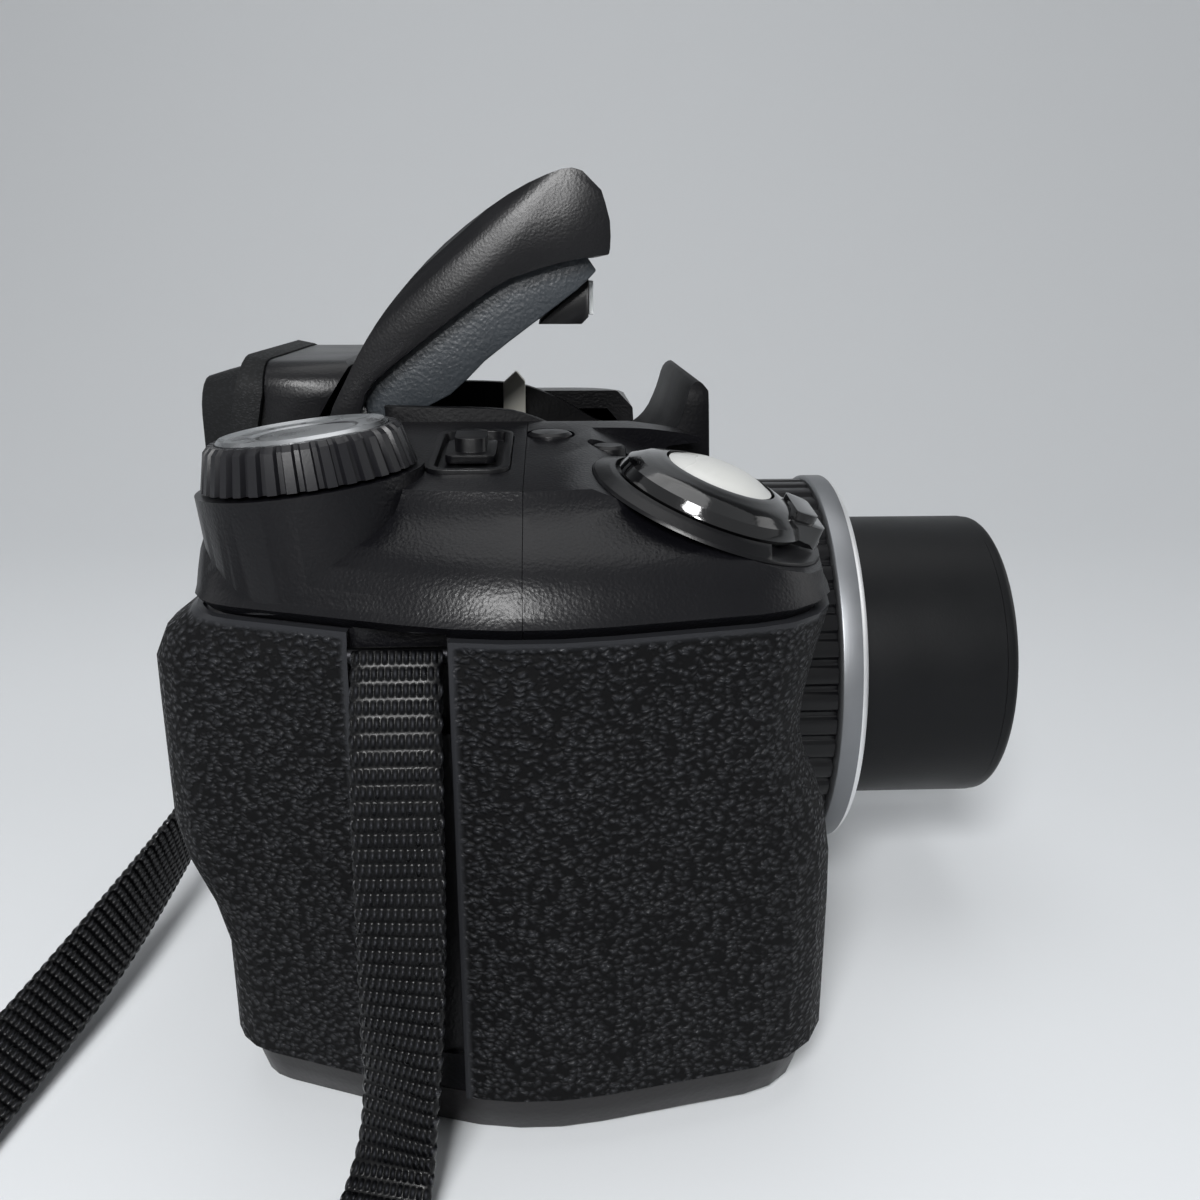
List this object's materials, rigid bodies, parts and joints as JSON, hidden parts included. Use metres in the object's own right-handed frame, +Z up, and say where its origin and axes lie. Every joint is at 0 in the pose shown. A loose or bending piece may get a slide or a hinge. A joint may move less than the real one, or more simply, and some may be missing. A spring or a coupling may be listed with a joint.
{
  "type": "bridge camera",
  "caption": "Bridge camera with a deep grip, a telescoping zoom lens, a pop-up flash, a viewfinder, a mode dial, a battery door and a neck strap.",
  "frame": {"origin": "centre of the tripod socket's mouth, on the base plane under the lens axis", "axes": "+Z up, the lens faces -Y, the grip is on -X"},
  "size_m": [0.2424, 0.1186, 0.0924],
  "materials": {
    "cover_plastic": "semi-gloss black, fine leather grain",
    "smooth_plastic": "smooth black",
    "gloss_black": "gloss black",
    "frame_plastic": "fine grey grain",
    "white_plastic": "plain",
    "skin_rubber": "coarse pebble grain",
    "ring_metal": "satin, bright front bevel",
    "steel": "plain",
    "button_metal": "satin",
    "lens_glass": "coated",
    "screen": "gloss",
    "lamp_clear": "milky",
    "lamp_red": "clear red",
    "board": "printed board",
    "cell": "plain wrap",
    "webbing": "woven nylon"
  },
  "bodies": {
    "body": {"front_cover": "cover_plastic", "rear_cover": "cover_plastic", "top_hump": "smooth_plastic", "base_plate": "smooth_plastic", "tripod_bush": "steel", "grip_rubber": "skin_rubber", "thumb_rubber": "skin_rubber", "lug_bar_right": "steel", "lug_bar_left": "steel", "ribbed_ring": "smooth_plastic", "silver_ring": "ring_metal", "lens_tube": "smooth_plastic", "rear_lens_group": "lens_glass", "image_sensor": "board", "zoom_motor": "steel", "main_board": "board", "lcd_panel": "screen", "lcd_window": "screen", "evf_housing": "cover_plastic", "evf_display": "screen", "eyepiece_lens": "lens_glass", "eyecup": "skin_rubber", "battery_cells": "cell", "battery_contacts": "steel", "flash_capacitor": "smooth_plastic", "shutter_seat": "smooth_plastic", "power_bezel": "smooth_plastic", "focus_lamp": "lamp_red", "flash_hinge_pin": "steel", "door_hinge_pin": "steel", "terminal_sockets": "steel", "base_screws": "steel", "strap_run": "webbing", "strap_coil": "webbing"},
    "barrel": {"zoom_barrel": "smooth_plastic", "barrel_bezel": "smooth_plastic"},
    "inner_lens": {"inner_barrel": "smooth_plastic", "trim_ring": "smooth_plastic", "front_lens": "lens_glass"},
    "dial": {"mode_dial": "smooth_plastic", "dial_disc": "ring_metal"},
    "power": {"power_slider": "smooth_plastic"},
    "shutter": {"shutter_button": "button_metal"},
    "lever": {"zoom_lever": "gloss_black"},
    "flash": {"flash_lid": "cover_plastic", "flash_frame": "frame_plastic", "flash_reflector": "smooth_plastic", "flash_window": "lamp_clear"},
    "latch": {"flash_latch": "white_plastic"},
    "flash_key": {"flash_button": "smooth_plastic"},
    "burst_key": {"burst_button": "smooth_plastic"},
    "exposure_key": {"exposure_button": "smooth_plastic"},
    "pad": {"menu_pad": "smooth_plastic"},
    "ok_key": {"ok_button": "smooth_plastic"},
    "playback_key": {"playback_button": "smooth_plastic"},
    "display_key": {"display_button": "smooth_plastic"},
    "diopter": {"diopter_wheel": "smooth_plastic"},
    "door": {"battery_door": "smooth_plastic"},
    "catch": {"door_catch": "smooth_plastic"},
    "terminal_flap": {"terminal_door": "skin_rubber"}
  },
  "joints": [
    {"name": "zoom_slide", "type": "slide", "parent": "body", "child": "barrel", "axis": [0, 1, 0], "range_m": [0, 0.0196]},
    {"name": "inner_slide", "type": "slide", "parent": "barrel", "child": "inner_lens", "axis": [0, -1, 0], "range_m": [0, 0.014]},
    {"name": "dial_turn", "type": "hinge", "parent": "body", "child": "dial", "pos_m": [-0.0385, 0.0202, 0.0633], "axis": [0, 0.1132, 0.9936], "continuous": true},
    {"name": "power_slide", "type": "slide", "parent": "body", "child": "power", "axis": [0.9962, 0, 0.0872], "range_m": [-0.0015, 0.0015]},
    {"name": "shutter_press", "type": "slide", "parent": "body", "child": "shutter", "axis": [0.0982, 0.342, -0.9345], "range_m": [0, 0.0008], "stiffness_N_per_m": 300},
    {"name": "lever_swing", "type": "hinge", "parent": "body", "child": "lever", "pos_m": [-0.038, -0.0184, 0.0614], "axis": [-0.0982, -0.342, 0.9345], "range_deg": [-25, 25], "stiffness_Nm_per_rad": 0.004},
    {"name": "flash_swing", "type": "hinge", "parent": "body", "child": "flash", "pos_m": [0, 0.0195, 0.0662], "axis": [1, 0, 0], "range_deg": [0, 40], "stiffness_Nm_per_rad": 0.01, "springref_deg": -28.65},
    {"name": "latch_slide", "type": "slide", "parent": "body", "child": "latch", "axis": [0, 1, 0], "range_m": [0, 0.0015], "stiffness_N_per_m": 300},
    {"name": "flash_key_press", "type": "slide", "parent": "body", "child": "flash_key", "axis": [0, 0, -1], "range_m": [0, 0.0006], "stiffness_N_per_m": 300},
    {"name": "burst_key_press", "type": "slide", "parent": "body", "child": "burst_key", "axis": [0, 0, -1], "range_m": [0, 0.0005], "stiffness_N_per_m": 300},
    {"name": "exposure_key_press", "type": "slide", "parent": "body", "child": "exposure_key", "axis": [0, 0, -1], "range_m": [0, 0.0005], "stiffness_N_per_m": 300},
    {"name": "pad_press", "type": "slide", "parent": "body", "child": "pad", "axis": [0, -1, 0], "range_m": [0, 0.0004], "stiffness_N_per_m": 300},
    {"name": "ok_key_press", "type": "slide", "parent": "body", "child": "ok_key", "axis": [0, -1, 0], "range_m": [0, 0.0005], "stiffness_N_per_m": 300},
    {"name": "playback_key_press", "type": "slide", "parent": "body", "child": "playback_key", "axis": [0, -1, 0], "range_m": [0, 0.0006], "stiffness_N_per_m": 300},
    {"name": "display_key_press", "type": "slide", "parent": "body", "child": "display_key", "axis": [0, -1, 0], "range_m": [0, 0.0006], "stiffness_N_per_m": 300},
    {"name": "diopter_turn", "type": "hinge", "parent": "body", "child": "diopter", "pos_m": [0.016, 0.0259, 0.0678], "axis": [1, 0, 0], "range_deg": [-120, 120]},
    {"name": "door_swing", "type": "hinge", "parent": "body", "child": "door", "pos_m": [-0.0209, 0.0065, 0.0019], "axis": [0, -1, 0], "range_deg": [0, 85]},
    {"name": "catch_slide", "type": "slide", "parent": "door", "child": "catch", "axis": [1, 0, 0], "range_m": [0, 0.0024]},
    {"name": "terminal_swing", "type": "hinge", "parent": "body", "child": "terminal_flap", "pos_m": [0.0532, 0.0027, 0.01925], "axis": [0, 0, -1], "range_deg": [0, 95]}
  ]
}
